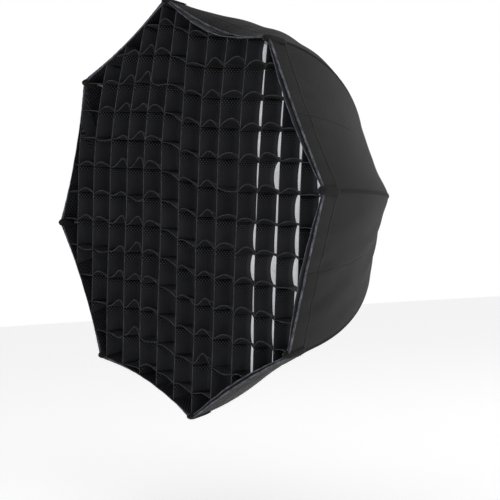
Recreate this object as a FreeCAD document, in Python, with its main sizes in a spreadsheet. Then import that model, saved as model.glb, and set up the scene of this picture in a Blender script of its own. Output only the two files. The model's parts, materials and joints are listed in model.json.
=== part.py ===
import FreeCAD, Part
import math
import os

from FreeCAD import Placement, Rotation, Vector

# Folding octagonal softbox, millimetres.
# Y is the optical axis: the open front faces -Y, the flash head leaves towards +Y, +Z is up.
# The origin is the centre of the bore that takes the flash head.
# In a rib's own plane a point is (out, ahead): its distance from the axis, and its distance
# in front of the plane that holds the rib hinges.

doc = FreeCAD.newDocument("Octabox")
sheet = doc.addObject("Spreadsheet::Sheet", "Sizes")

SIZES = {
    "rib_count": 8,
    # mount and hub
    "bore_radius": 46.5, "bore_length": 14, "collar_radius": 52,
    "flange_radius": 66, "plate_thick": 3,
    "lug_inner": 48, "lug_thick": 2.5, "lug_reach": 6, "lug_width": 18, "lug_height": 4.5,
    "lug_foot": 2,
    "tube_inner": 50, "tube_outer": 52, "back_plate_radius": 80,
    "hub_radius": 60, "hub_length": 17, "screw_circle": 57, "screw_radius": 1.6,
    "screw_head": 3, "screw_head_height": 2.2, "screw_slot": 0.8, "screw_depth": 14,
    "weld": 3,
    # rib hinges
    "hinge_circle": 70, "hinge_depth": 23, "knuckle_radius": 5, "knuckle_width": 6,
    "ear_thick": 2.9, "ear_gap": 0.1, "pin_radius": 1.5, "pin_clear": 0.05, "pin_head": 2.6,
    "pin_head_height": 1,
    # ribs
    "tip_out": 296, "tip_ahead": 322, "rib_bow": 48, "rib_radius": 2.5,
    "cap_radius": 3.6, "cap_length": 14, "cap_nose": 4,
    "clip_along": 28, "clip_drop": 8, "clip_radius": 4, "clip_width": 6, "clip_web": 4,
    # struts and runner
    "strut_length": 42, "strut_thick": 2, "strut_width": 6, "strut_eye": 4.5,
    "strut_far_eye": 5.2, "strut_far_hole": 3, "link_circle": 64, "pin_lead": 1,
    "runner_clear": 0.05, "runner_radius": 56.5, "runner_length": 12, "runner_lug": 4,
    "guide_ahead": 84, "stop_radius": 56, "stop_length": 3, "stop_inset": 1,
    "link_head": 4.2, "lug_root": 1,
    "button_radius": 3.5, "button_head": 4.5, "button_bottom": 55, "button_top": 63,
    "button_head_height": 1.8, "button_boss": 6, "boss_top": 59, "pocket_bottom": 53,
    # shell
    "cloth_offset": 4, "cloth_thick": 1, "shell_start": 16, "shell_gap": 0.2,
    "valley_rise": 4, "valley_bow": 38, "collar_front_radius": 85.5, "collar_front": 3.5,
    "collar_thick": 1,
    # cloths
    "grid_radius": 277, "grid_depth": 38, "grid_pitch": 42, "grid_lines": 6, "grid_turn": -8,
    "ribbon_thick": 1.2, "border_radius": 280, "diffuser_radius": 278,
    "diffuser_gap": 2, "diffuser_thick": 0.8, "hem_width": 16, "hem_thick": 2,
    "baffle_radius": 185, "baffle_ahead": 170, "baffle_thick": 0.8,
    "strap_end": 238, "strap_width": 12,
}
for row, (alias, value) in enumerate(SIZES.items(), start=1):
    sheet.set(f"A{row}", alias)
    sheet.set(f"B{row}", str(value))
    sheet.setAlias(f"B{row}", alias)
doc.recompute()

ALONG_Y = Rotation(Vector(1, 0, 0), -90)      # turns a solid's own Z axis to +Y
nodes = {}


def size(alias):
    return float(sheet.get(alias))


def keep(solid, label):
    """Give a finished sub-part its name and list it for export."""
    solid.Label = label
    nodes[label] = solid
    return solid


def bind(obj, **sizes):
    """Bind an object's properties to cells of the sheet."""
    for prop, text in sizes.items():
        obj.setExpression(prop, text)
    return obj


def primitive(kind, place, **sizes):
    obj = doc.addObject("Part::" + kind, kind)
    obj.Placement = place
    return bind(obj, **sizes)


def fuse(parts):
    if len(parts) == 1:
        return parts[0]
    obj = doc.addObject("Part::MultiFuse", "Fuse")
    obj.Shapes = parts
    return obj


def cut(base, tools):
    obj = doc.addObject("Part::Cut", "Cut")
    obj.Base = base
    obj.Tool = fuse(tools)
    return obj


def group(parts):
    """Join like pieces, which stay separate solids, in one object."""
    obj = doc.addObject("Part::Compound", "Group")
    obj.Links = parts
    return obj


def azimuth(degrees):
    """Turn about the optical axis that takes +X to the given angle towards +Z."""
    return Placement(Vector(0, 0, 0), Rotation(Vector(0, 1, 0), -degrees))


def rib_angles():
    count = int(size("rib_count"))
    return [360.0 * k / count for k in range(count)]


STEP = 360.0 / size("rib_count")
HINGE_Y = -size("hinge_depth")


def at(out, ahead, side=0.0):
    """Point in the plane of the rib that lies along +X."""
    return Vector(out, HINGE_Y - ahead, side)


def ring(outer, inner, start, length):
    """Plain ring about the optical axis, from y = start towards +Y."""
    place = Placement(Vector(0, start, 0), ALONG_Y)
    body = primitive("Cylinder", place, Radius=outer, Height=length)
    hole = primitive("Cylinder", place, Radius=inner, Height=length)
    return cut(body, [hole])


def rod(centre, low, radius, height):
    """Cylinder across a rib's plane, starting at side = low."""
    place = Placement(Vector(centre.x, centre.y, low), Rotation())
    return primitive("Cylinder", place, Radius=radius, Height=height)


# ---------------------------------------------------------------- rib curve

class Bow:
    """Shallow circular arc from a start to an end, both (out, ahead), bowed outwards."""

    def __init__(self, start, end, rise):
        self.start = start
        run = (end[0] - start[0], end[1] - start[1])
        self.chord = math.hypot(*run)
        self.along = (run[0] / self.chord, run[1] / self.chord)
        self.normal = (self.along[1], -self.along[0])
        self.radius = (self.chord ** 2 / 4 + rise ** 2) / (2 * rise)
        self.depth = self.radius - rise
        middle = self.chord / 2
        self.centre = tuple(start[i] + self.along[i] * middle - self.normal[i] * self.depth
                            for i in range(2))

    def point(self, along, offset=0.0):
        """(out, ahead) at a distance along the chord, offset outwards from the arc."""
        across = along - self.chord / 2
        rise = math.sqrt(self.radius ** 2 - across ** 2) - self.depth
        base = tuple(self.start[i] + self.along[i] * along + self.normal[i] * rise
                     for i in range(2))
        away = (base[0] - self.centre[0], base[1] - self.centre[1])
        scale = offset / self.radius
        return base[0] + away[0] * scale, base[1] + away[1] * scale

    def angle(self, along):
        """Direction of a point from the arc's centre, in degrees, in the X-Y plane."""
        out, ahead = self.point(along)
        return math.degrees(math.atan2(self.centre[1] - ahead, out - self.centre[0]))


rib_bow = Bow((size("hinge_circle"), 0), (size("tip_out"), size("tip_ahead")), size("rib_bow"))
clip = rib_bow.point(size("clip_along"), -size("clip_drop"))
reach = clip[0] - size("link_circle")
link_ahead = clip[1] + math.sqrt(size("strut_length") ** 2 - reach ** 2)
clip_point = at(*clip)
link_point = at(size("link_circle"), link_ahead)
runner_ahead = link_ahead + size("pin_lead")      # halves the drift of the strut's far eye
runner_point = at(size("link_circle"), runner_ahead)
hinge_point = at(size("hinge_circle"), 0)


def bow_tube(bow, radius, first, last, over=0.0):
    """Round bar along the arc between two chord distances, plus `over` mm past the last."""
    start = bow.angle(last) - math.degrees(over / bow.radius)
    place = Placement(at(*bow.centre), Rotation(Vector(0, 0, 1), start))
    bar = primitive("Torus", place, Radius2=radius)
    bar.Radius1 = bow.radius
    bar.Angle3 = bow.angle(first) - start
    return bar


# ---------------------------------------------------------------- mount and hub

rear = size("bore_length") / 2
flange_y = -rear - size("plate_thick")
plate_y = flange_y - size("plate_thick")
hub_y = plate_y - size("hub_length")
screw_angles = [a + STEP / 2 for a in rib_angles()]
LUG_ANGLES = (90, 210, 330)


def along_axis(angle, circle, start, radius, length):
    """Cylinder parallel to the optical axis, on a circle about it."""
    turn = azimuth(angle)
    place = Placement(turn.multVec(Vector(circle, start, 0)), ALONG_Y)
    return primitive("Cylinder", place, Radius=radius, Height=length)


def screw_holes():
    return [along_axis(a, size("screw_circle"), plate_y - size("screw_depth"),
                       "Sizes.screw_radius", "Sizes.screw_depth + 3 * Sizes.plate_thick")
            for a in screw_angles]


def make_mount_ring():
    collar = primitive("Cylinder", Placement(Vector(0, flange_y, 0), ALONG_Y),
                       Radius="Sizes.collar_radius",
                       Height="Sizes.bore_length + Sizes.plate_thick")
    flange = primitive("Cylinder", Placement(Vector(0, flange_y, 0), ALONG_Y),
                       Radius="Sizes.flange_radius", Height="Sizes.plate_thick")
    bore = primitive("Cylinder", Placement(Vector(0, -rear, 0), ALONG_Y),
                     Radius="Sizes.bore_radius", Height="Sizes.bore_length")
    relief = primitive("Cylinder", Placement(Vector(0, flange_y, 0), ALONG_Y),
                       Radius="Sizes.tube_inner", Height="Sizes.plate_thick")
    keep(cut(fuse([collar, flange]), [bore, relief] + screw_holes()), "mount_ring")


def make_bayonet_lugs():
    """Three claws behind the bore that turn into slots in the flash head's face."""
    claws = []
    inner = size("lug_inner")
    low = -size("lug_width") / 2
    for angle in LUG_ANGLES:
        turn = azimuth(angle)
        web = primitive("Box", turn * Placement(Vector(inner, rear, low), Rotation()),
                        Length="Sizes.lug_thick", Width="Sizes.lug_height",
                        Height="Sizes.lug_width")
        foot_y = rear + size("lug_height") - size("lug_foot")
        foot = primitive("Box", turn * Placement(Vector(inner, foot_y, low), Rotation()),
                         Length="Sizes.lug_reach", Width="Sizes.lug_foot",
                         Height="Sizes.lug_width")
        claws.append(fuse([web, foot]))
    keep(group(claws), "bayonet_lugs")


def make_back_plate():
    plate = ring("Sizes.back_plate_radius", "Sizes.tube_inner", plate_y, "Sizes.plate_thick")
    keep(cut(plate, screw_holes()), "back_plate")


def make_ring_screws():
    screws = []
    for angle in screw_angles:
        shank = along_axis(angle, size("screw_circle"), plate_y - size("screw_depth"),
                           "Sizes.screw_radius", "Sizes.screw_depth + 2 * Sizes.plate_thick")
        head = along_axis(angle, size("screw_circle"), -rear,
                          "Sizes.screw_head", "Sizes.screw_head_height")
        slot = primitive("Box", azimuth(angle) * Placement(
            Vector(size("screw_circle") - size("screw_head"),
                   -rear + size("screw_head_height") / 2, -size("screw_slot") / 2), Rotation()),
            Length="2 * Sizes.screw_head", Width="Sizes.screw_head_height",
            Height="Sizes.screw_slot")
        screws.append(cut(fuse([shank, head]), [slot]))
    keep(group(screws), "ring_screws")


def make_hub_ring():
    """Ring with a pair of ears round each rib's knuckle."""
    body = ring("Sizes.hub_radius", "Sizes.tube_outer", hub_y, "Sizes.hub_length")
    ears = []
    for angle in rib_angles():
        turn = azimuth(angle)
        half = size("knuckle_width") / 2 + size("ear_gap")
        for low in (half, -half - size("ear_thick")):
            root = size("hub_radius") - size("weld")
            web = primitive("Box", turn * Placement(
                at(root, size("knuckle_radius"), low), Rotation()),
                Length="Sizes.hinge_circle - Sizes.hub_radius + Sizes.weld",
                Width="2 * Sizes.knuckle_radius", Height="Sizes.ear_thick")
            eye = rod(hinge_point, low, "Sizes.knuckle_radius", "Sizes.ear_thick")
            eye.Placement = turn * eye.Placement
            ears += [web, eye]
    holes = [hub_pin_blank(turn_angle, False) for turn_angle in rib_angles()]
    threads = screw_holes()
    keep(cut(fuse([body] + ears), holes + threads), "hub_ring")


def hub_pin_blank(angle, headed):
    """Hinge pin of one rib; with heads it is the pin, without them the hole it fills."""
    half = size("knuckle_width") / 2 + size("ear_gap") + size("ear_thick")
    turn = azimuth(angle)
    span = "Sizes.knuckle_width + 2 * Sizes.ear_gap + 2 * Sizes.ear_thick"
    pin = rod(hinge_point, -half, "Sizes.pin_radius", span)
    pieces = [pin]
    if headed:
        for low in (half, -half - size("pin_head_height")):
            pieces.append(rod(hinge_point, low, "Sizes.pin_head", "Sizes.pin_head_height"))
    for piece in pieces:
        piece.Placement = turn * piece.Placement
    return fuse(pieces)


def make_guide_tube():
    keep(ring("Sizes.tube_outer", "Sizes.tube_inner", HINGE_Y - size("guide_ahead"),
              "Sizes.guide_ahead + Sizes.hinge_depth - Sizes.bore_length / 2"
              " - 2 * Sizes.plate_thick"), "guide_tube")


def make_stop_ring():
    stop_y = HINGE_Y - size("guide_ahead") + size("stop_inset")
    keep(ring("Sizes.stop_radius", "Sizes.tube_outer", stop_y, "Sizes.stop_length"),
         "stop_ring")


def make_rear_collar():
    """Cone of cloth that closes the gap between the back plate and the shell."""
    low = HINGE_Y - size("collar_front")
    place = Placement(Vector(0, low, 0), ALONG_Y)
    height = ("Sizes.hinge_depth + Sizes.collar_front - Sizes.bore_length / 2"
              " - 2 * Sizes.plate_thick")
    outer = primitive("Cone", place, Radius1="Sizes.collar_front_radius",
                      Radius2="Sizes.back_plate_radius", Height=height)
    inner = primitive("Cone", place,
                      Radius1="Sizes.collar_front_radius - Sizes.collar_thick",
                      Radius2="Sizes.back_plate_radius - Sizes.collar_thick", Height=height)
    keep(cut(outer, [inner]), "rear_collar")


# ---------------------------------------------------------------- ribs and struts

def make_rib(number, angle):
    bar = bow_tube(rib_bow, "Sizes.rib_radius", 0, rib_bow.chord)
    half = size("knuckle_width") / 2
    knuckle = rod(hinge_point, -half, "Sizes.knuckle_radius", "Sizes.knuckle_width")
    low = -size("rib_radius")
    boss = rod(clip_point, low, "Sizes.clip_radius", "Sizes.rib_radius + Sizes.knuckle_width / 2")
    lean = rib_bow.angle(size("clip_along"))
    web = primitive("Box", Placement(clip_point, Rotation(Vector(0, 0, 1), lean)) * Placement(
        Vector(0, -size("clip_width") / 2, -size("clip_web") / 2), Rotation()),
        Length="Sizes.clip_drop", Width="Sizes.clip_width", Height="Sizes.clip_web")
    pin = rod(clip_point, half, "Sizes.pin_radius", "Sizes.strut_thick + 2 * Sizes.ear_gap")
    head = rod(clip_point, half + size("strut_thick") + 2 * size("ear_gap"),
               "Sizes.pin_head", "Sizes.pin_head_height")
    hole = rod(hinge_point, -half, "Sizes.pin_radius + Sizes.pin_clear",
               "Sizes.knuckle_width")
    rib = cut(fuse([bar, knuckle, boss, web, pin, head]), [hole])
    rib.Placement = azimuth(angle)
    keep(rib, f"rib_{number}")


def make_rib_cap(number, angle):
    """Moulded cap pushed over the rib's end."""
    first = rib_bow.chord - size("cap_length")
    shell = bow_tube(rib_bow, "Sizes.cap_radius", first, rib_bow.chord, size("cap_nose"))
    bar = bow_tube(rib_bow, "Sizes.rib_radius", first, rib_bow.chord)
    cap = cut(shell, [bar])
    cap.Placement = azimuth(angle)
    keep(cap, f"rib_cap_{number}")


def make_strut(number, angle):
    """Flat link beside the rib, from the rib's clip to the runner's lug."""
    low = size("knuckle_width") / 2 + size("ear_gap")
    near = rod(clip_point, low, "Sizes.strut_eye", "Sizes.strut_thick")
    far = rod(link_point, low, "Sizes.strut_far_eye", "Sizes.strut_thick")
    line = link_point - clip_point
    lean = math.degrees(math.atan2(line.y, line.x))
    base = Vector(clip_point.x, clip_point.y, low)
    bar = primitive("Box", Placement(base, Rotation(Vector(0, 0, 1), lean)) * Placement(
        Vector(0, -size("strut_width") / 2, 0), Rotation()),
        Length="Sizes.strut_length", Width="Sizes.strut_width", Height="Sizes.strut_thick")
    near_hole = rod(clip_point, low, "Sizes.pin_radius + Sizes.pin_clear",
                    "Sizes.strut_thick")
    far_hole = rod(link_point, low, "Sizes.strut_far_hole", "Sizes.strut_thick")
    strut = cut(fuse([near, far, bar]), [near_hole, far_hole])
    strut.Placement = azimuth(angle)
    keep(strut, f"strut_{number}")


# ---------------------------------------------------------------- runner

def radial(angle, ahead, start, radius, length):
    """Cylinder along a radius, starting at a distance from the optical axis."""
    outwards = Rotation(Vector(0, 1, 0), 90)
    place = azimuth(angle) * Placement(at(start, ahead), outwards)
    return primitive("Cylinder", place, Radius=radius, Height=length)


BUTTON_ANGLES = {"left": 180 + STEP / 2, "right": STEP / 2}
runner_y = HINGE_Y - runner_ahead - size("runner_length") / 2


def make_runner():
    """Sliding ring with a lug for each strut and a boss round each release button."""
    body = primitive("Cylinder", Placement(Vector(0, runner_y, 0), ALONG_Y),
                     Radius="Sizes.runner_radius", Height="Sizes.runner_length")
    bore = primitive("Cylinder", Placement(Vector(0, runner_y, 0), ALONG_Y),
                     Radius="Sizes.tube_outer + Sizes.runner_clear",
                     Height="Sizes.runner_length")
    lugs = []
    holes = [bore]
    for angle in rib_angles():
        turn = azimuth(angle)
        web = primitive("Box", turn * Placement(
            at(size("runner_radius") - size("lug_root"), runner_ahead + size("runner_lug")),
            Rotation()),
            Length="Sizes.link_circle - Sizes.runner_radius + Sizes.lug_root",
            Width="2 * Sizes.runner_lug", Height="Sizes.knuckle_width / 2 - Sizes.ear_gap")
        eye = rod(runner_point, 0, "Sizes.runner_lug", "Sizes.knuckle_width / 2 - Sizes.ear_gap")
        hole = rod(runner_point, 0, "Sizes.pin_radius", "Sizes.knuckle_width / 2 - Sizes.ear_gap")
        eye.Placement = turn * eye.Placement
        hole.Placement = turn * hole.Placement
        lugs += [web, eye]
        holes.append(hole)
    for angle in BUTTON_ANGLES.values():
        lugs.append(radial(angle, runner_ahead, size("pocket_bottom"), "Sizes.button_boss",
                           "Sizes.boss_top - Sizes.pocket_bottom"))
        holes.append(radial(angle, runner_ahead, size("pocket_bottom"),
                            "Sizes.button_radius + Sizes.pin_clear",
                            "Sizes.boss_top - Sizes.pocket_bottom"))
    keep(cut(fuse([body] + lugs), holes), "runner")


def make_runner_pins():
    pins = []
    for angle in rib_angles():
        reach_up = size("knuckle_width") / 2 + size("strut_thick") + 2 * size("ear_gap")
        pin = rod(runner_point, 0, "Sizes.pin_radius",
                  "Sizes.knuckle_width / 2 + Sizes.strut_thick + 2 * Sizes.ear_gap")
        head = rod(runner_point, reach_up, "Sizes.link_head", "Sizes.pin_head_height")
        both = fuse([pin, head])
        both.Placement = azimuth(angle)
        pins.append(both)
    keep(group(pins), "runner_pins")


def make_release_button(side, angle):
    stem = radial(angle, runner_ahead, size("button_bottom"), "Sizes.button_radius",
                  "Sizes.button_top - Sizes.button_bottom - Sizes.button_head_height")
    head = radial(angle, runner_ahead, size("button_top") - size("button_head_height"),
                  "Sizes.button_head", "Sizes.button_head_height")
    keep(fuse([stem, head]), f"release_button_{side}")


# ---------------------------------------------------------------- shell

valley_bow = Bow(
    tuple(v * f for v, f in zip(rib_bow.point(size("shell_start")),
                                (math.cos(math.radians(STEP / 2)), 1))),
    (size("tip_out") * math.cos(math.radians(STEP / 2)) - size("valley_rise"),
     size("tip_ahead") - size("valley_rise")),
    size("valley_bow"))


def cloth_profile(bow, first, inner, place):
    """Thin crescent along an arc: the cloth's section in one plane through the axis."""
    outer = inner + size("cloth_thick")
    last = bow.chord
    middle = (first + last) / 2
    corner = {(s, o): at(*bow.point(s, o))
              for s in (first, middle, last) for o in (inner, outer)}
    edges = [
        Part.Arc(corner[first, outer], corner[middle, outer], corner[last, outer]).toShape(),
        Part.LineSegment(corner[last, outer], corner[last, inner]).toShape(),
        Part.Arc(corner[last, inner], corner[middle, inner], corner[first, inner]).toShape(),
        Part.LineSegment(corner[first, inner], corner[first, outer]).toShape(),
    ]
    profile = doc.addObject("Part::Feature", "Profile")
    profile.Shape = Part.Wire(edges)
    profile.Placement = place
    return profile


def make_half_gore(number, angle, side, hand):
    """Half of a shell gore, from its rib to the crease down the gore's middle."""
    gap = size("shell_gap")
    at_rib = azimuth(angle) * Placement(Vector(0, 0, hand * gap), Rotation())
    crease = azimuth(angle + hand * STEP / 2)
    at_crease = crease * Placement(Vector(0, 0, -hand * gap), Rotation())
    sections = [
        cloth_profile(rib_bow, size("shell_start"), size("cloth_offset"), at_rib),
        cloth_profile(valley_bow, 0, 0, at_crease),
    ]
    loft = doc.addObject("Part::Loft", "HalfGore")
    loft.Sections = sections
    loft.Solid = True
    loft.Ruled = True
    keep(loft, f"gore_{number}_{side}")


# ---------------------------------------------------------------- cloths in the front

front_y = HINGE_Y - size("tip_ahead")
grid_back = front_y + size("grid_depth")
diffuser_y = grid_back + size("diffuser_gap")
baffle_y = HINGE_Y - size("baffle_ahead")


def octagon(radius, start, height):
    place = Placement(Vector(0, start, 0), ALONG_Y)
    prism = primitive("Prism", place, Circumradius=radius, Height=height)
    prism.Polygon = int(size("rib_count"))
    return prism


def octagon_ring(outer, inner, start, height):
    return cut(octagon(outer, start, height), [octagon(inner, start, height)])


def trim(ribbons, start, height):
    """Cut ribbons off at the octagon's sides, between two depths."""
    common = doc.addObject("Part::Common", "Trimmed")
    common.Base = ribbons
    common.Tool = octagon("Sizes.grid_radius", start, height)
    return common


def make_grid():
    """Egg-crate of upright and level ribbons that slot halfway into each other, sewn in
    slightly turned against the corners of the octagon."""
    uprights, levels = [], []
    turn = azimuth(size("grid_turn"))
    count = int(size("grid_lines"))
    half = size("ribbon_thick") / 2
    span = size("grid_radius")
    for line in range(-count, count + 1):
        centre = line * size("grid_pitch")
        uprights.append(primitive(
            "Box", turn * Placement(Vector(centre - half, front_y, -span), Rotation()),
            Length="Sizes.ribbon_thick", Width="Sizes.grid_depth",
            Height="2 * Sizes.grid_radius"))
        levels.append(primitive(
            "Box", turn * Placement(Vector(-span, front_y, centre - half), Rotation()),
            Length="2 * Sizes.grid_radius", Width="Sizes.grid_depth",
            Height="Sizes.ribbon_thick"))
    upright, level = fuse(uprights), fuse(levels)
    middle = front_y + size("grid_depth") / 2
    front_slots = trim(level, front_y, "Sizes.grid_depth / 2")
    rear_slots = trim(upright, middle, "Sizes.grid_depth / 2")
    keep(group([cut(trim(upright, front_y, "Sizes.grid_depth"), [front_slots]),
                cut(trim(level, front_y, "Sizes.grid_depth"), [rear_slots])]), "grid")


def make_cloths():
    keep(octagon_ring("Sizes.border_radius", "Sizes.grid_radius", front_y,
                      "Sizes.grid_depth"), "grid_border")
    keep(octagon("Sizes.diffuser_radius", diffuser_y, "Sizes.diffuser_thick"),
         "outer_diffuser")
    keep(octagon_ring("Sizes.diffuser_radius", "Sizes.diffuser_radius - Sizes.hem_width",
                      diffuser_y + size("diffuser_thick"), "Sizes.hem_thick"),
         "diffuser_hem")
    keep(octagon("Sizes.baffle_radius", baffle_y, "Sizes.baffle_thick"), "inner_baffle")


def make_baffle_straps():
    """Elastic straps from the baffle's corners out to the ribs."""
    straps = []
    for angle in rib_angles():
        place = azimuth(angle) * Placement(
            Vector(size("baffle_radius") - size("strap_width"),
                   baffle_y + size("baffle_thick"), -size("strap_width") / 2), Rotation())
        straps.append(primitive(
            "Box", place, Length="Sizes.strap_end - Sizes.baffle_radius + Sizes.strap_width",
            Width="Sizes.baffle_thick", Height="Sizes.strap_width"))
    keep(group(straps), "baffle_straps")


make_mount_ring()
make_bayonet_lugs()
make_back_plate()
make_ring_screws()
make_hub_ring()
keep(group([hub_pin_blank(angle, True) for angle in rib_angles()]), "hub_pins")
make_guide_tube()
make_stop_ring()
make_rear_collar()
make_runner()
make_runner_pins()
for button_side, button_angle in BUTTON_ANGLES.items():
    make_release_button(button_side, button_angle)
for rib_number, rib_angle in enumerate(rib_angles(), start=1):
    make_rib(rib_number, rib_angle)
    make_rib_cap(rib_number, rib_angle)
    make_strut(rib_number, rib_angle)
    make_half_gore(rib_number, rib_angle, "left", -1)
    make_half_gore(rib_number, rib_angle, "right", 1)
make_grid()
make_cloths()
make_baffle_straps()

doc.recompute()
for thing in doc.Objects:
    if "Invalid" in thing.State or "Error" in thing.State:
        raise RuntimeError(f"{thing.Label} failed: {thing.State}")
for label, thing in nodes.items():
    if thing.Shape.isNull() or not thing.Shape.isValid():
        raise RuntimeError(f"{label} has no valid shape")

os.makedirs("parts", exist_ok=True)
for label, thing in nodes.items():
    thing.Shape.exportStep(f"parts/{label}.step")
print(len(nodes), "sub-parts written")
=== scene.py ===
import json
import math
import random

import bmesh
import bpy
import numpy as np
from bpy.props import FloatProperty, FloatVectorProperty, IntProperty, PointerProperty
from bpy.types import Operator, Panel, PropertyGroup
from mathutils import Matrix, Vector


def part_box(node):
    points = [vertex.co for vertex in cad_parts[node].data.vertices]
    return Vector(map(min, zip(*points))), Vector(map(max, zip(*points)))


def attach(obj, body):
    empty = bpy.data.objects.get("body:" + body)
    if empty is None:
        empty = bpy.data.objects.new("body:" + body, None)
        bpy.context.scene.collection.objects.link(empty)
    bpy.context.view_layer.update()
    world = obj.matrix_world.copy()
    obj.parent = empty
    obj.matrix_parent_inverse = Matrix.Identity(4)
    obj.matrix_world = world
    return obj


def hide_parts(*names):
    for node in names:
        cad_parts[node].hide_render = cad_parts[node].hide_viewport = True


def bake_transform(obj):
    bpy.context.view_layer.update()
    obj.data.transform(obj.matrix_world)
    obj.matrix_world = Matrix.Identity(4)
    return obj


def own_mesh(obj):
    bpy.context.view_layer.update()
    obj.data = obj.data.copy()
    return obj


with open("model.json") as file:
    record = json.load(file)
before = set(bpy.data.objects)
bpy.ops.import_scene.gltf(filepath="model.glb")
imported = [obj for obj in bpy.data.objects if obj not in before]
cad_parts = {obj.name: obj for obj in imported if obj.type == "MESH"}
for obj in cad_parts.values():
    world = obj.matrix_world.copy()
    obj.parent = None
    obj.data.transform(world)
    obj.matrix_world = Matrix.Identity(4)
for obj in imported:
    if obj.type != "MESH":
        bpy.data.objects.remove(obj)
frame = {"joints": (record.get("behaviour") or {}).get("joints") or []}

bl_info = {
    "name": "Folding Octabox",
    "version": (1, 0, 0),
    "blender": (4, 5, 0),
    "location": "View3D > Sidebar > Octabox",
    "description": "Builds the cloth, trim and finishes of a folding octagonal softbox",
    "category": "Add Mesh",
}

# ------------------------------------------------------------------ places read from the frame

JOINTS = {joint["name"]: joint for joint in frame["joints"]}
RIBS = 8
SIDES = {"left": -1, "right": 1}
WEDGES = 16
HALF = math.pi / RIBS
HINGE = Vector(JOINTS["rib_1_hinge"]["pos_m"])
FRONT_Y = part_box("grid")[0].y
GRID_BACK_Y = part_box("grid")[1].y
TIP_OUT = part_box("gore_1_right")[1].x
DIFFUSER_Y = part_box("outer_diffuser")[1].y
BAFFLE_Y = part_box("inner_baffle")[0].y
BAFFLE_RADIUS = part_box("inner_baffle")[1].x
PLATE_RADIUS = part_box("back_plate")[1].x
PLATE_FRONT_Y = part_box("back_plate")[0].y


def azimuth(rib):
    """Angle of a rib about the optical axis; rib 1 lies along +X and rib 3 points up."""
    return 2 * HALF * (rib - 1)


def polar(angle, out, y):
    return Vector((out * math.cos(angle), y, out * math.sin(angle)))


def rib_axes(rib):
    """Unit vectors of a rib: away from the optical axis, and round it."""
    angle = azimuth(rib)
    return (np.array([math.cos(angle), 0, math.sin(angle)]),
            np.array([-math.sin(angle), 0, math.cos(angle)]))


# ------------------------------------------------------------------ settings

def metres(name, description, default):
    return FloatProperty(name=name, description=description, default=default, unit="LENGTH")


def tint(name, description, default):
    return FloatVectorProperty(name=name, description=description, default=default,
                               subtype="COLOR", size=3)


class OctaboxShellSettings(PropertyGroup):
    rib_bow: metres("Rib bow", "How far a rib bows out from its chord", 0.048)
    thickness: metres("Cloth thickness", "Shell cloth with its lining", 0.0008)
    rib_start: metres("Shell start", "Chord length from a hinge to the cloth", 0.016)
    hollow: metres("Gore hollow", "Inward sag at a gore's middle", 0.007)
    bulge: metres("Loose bulge", "Outward swell of the slackest gore", 0.022)
    rim_scallop: metres("Rim scallop", "Inward sag of the rim between ribs", 0.009)
    loose_scallop: metres("Loose scallop", "Inward sag of the slackest rim edge", 0.021)
    hem: metres("Hem depth", "Turned-in hem behind the rim", 0.028)
    wrinkle: metres("Wrinkle height", "Height of the folds in the cloth", 0.0009)
    stitch: metres("Stitch pitch", "Distance from stitch to stitch", 0.0042)
    colour: tint("Shell colour", "Outer face of the shell", (0.0098, 0.0097, 0.0094))
    lining: tint("Lining colour", "Silver inner face of the shell", (0.68, 0.69, 0.71))


class OctaboxGridSettings(PropertyGroup):
    pitch: metres("Cell size", "Distance from ribbon to ribbon", 0.042)
    lines: IntProperty(name="Lines each side", description="Ribbons on each side of the middle one",
                       default=6)
    ribbon: metres("Ribbon thickness", "Thickness of one ribbon", 0.0007)
    turn: FloatProperty(name="Turn", description="Turn of the ribbons about the axis, towards +Z",
                        default=math.radians(-8), unit="ROTATION")
    wave: metres("Upright wave", "Sideways drift of an upright ribbon", 0.0028)
    lean: metres("Lean", "How far the uprights' tops are drawn sideways", 0.011)
    drop: metres("Drop", "Half the step of the level ribbons mid-way", 0.010)
    gape: metres("Gape", "Greatest bow of an upright's rear edge", 0.0085)
    arch: metres("Level arch", "Greatest rise or sag of a level ribbon in a cell", 0.0165)
    colour: tint("Ribbon colour", "Black mesh of the ribbons", (0.0150, 0.0153, 0.0178))


class OctaboxFrontSettings(PropertyGroup):
    billow: metres("Diffuser billow", "How far the diffuser's middle stands back", 0.004)
    baffle_billow: metres("Baffle billow", "How far the baffle's middle stands back", 0.005)
    strap_width: metres("Strap width", "Width of the baffle's elastic straps", 0.012)
    white: tint("White cloth", "Diffuser and baffle", (0.86, 0.87, 0.885))


class OctaboxStageSettings(PropertyGroup):
    lens: FloatProperty(name="Lens", description="Focal length in millimetres", default=104.4)
    place: FloatVectorProperty(name="Camera place", description="Where the camera stands",
                               default=(1.623, -1.626, -0.102), subtype="TRANSLATION", size=3)
    right: FloatVectorProperty(name="Camera right", description="Direction of the view's right",
                               default=(0.6542, 0.7538, -0.0615), subtype="DIRECTION", size=3)
    up: FloatVectorProperty(name="Camera up", description="Direction of the view's top",
                            default=(0.0536, 0.0349, 0.998), subtype="DIRECTION", size=3)
    floor: metres("Floor height", "Height of the floor below the axis", -0.45)
    sky: FloatProperty(name="Sky", description="Brightness of the surroundings", default=1.0)
    zenith: FloatProperty(name="Zenith", description="Sky overhead as a share of the horizon",
                          default=0.35, subtype="FACTOR")
    key: FloatProperty(name="Key light", description="Power of the large light above", default=4.0)
    side: FloatProperty(name="Side light", description="Power of the light beside the camera",
                        default=16.0)
    rear: FloatProperty(name="Rear light", description="Power of the light behind", default=12.0)


def shell_settings():
    return bpy.context.scene.octabox_shell


def grid_settings():
    return bpy.context.scene.octabox_grid


def front_settings():
    return bpy.context.scene.octabox_front


def stage_settings():
    return bpy.context.scene.octabox_stage


# ------------------------------------------------------------------ materials

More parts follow.
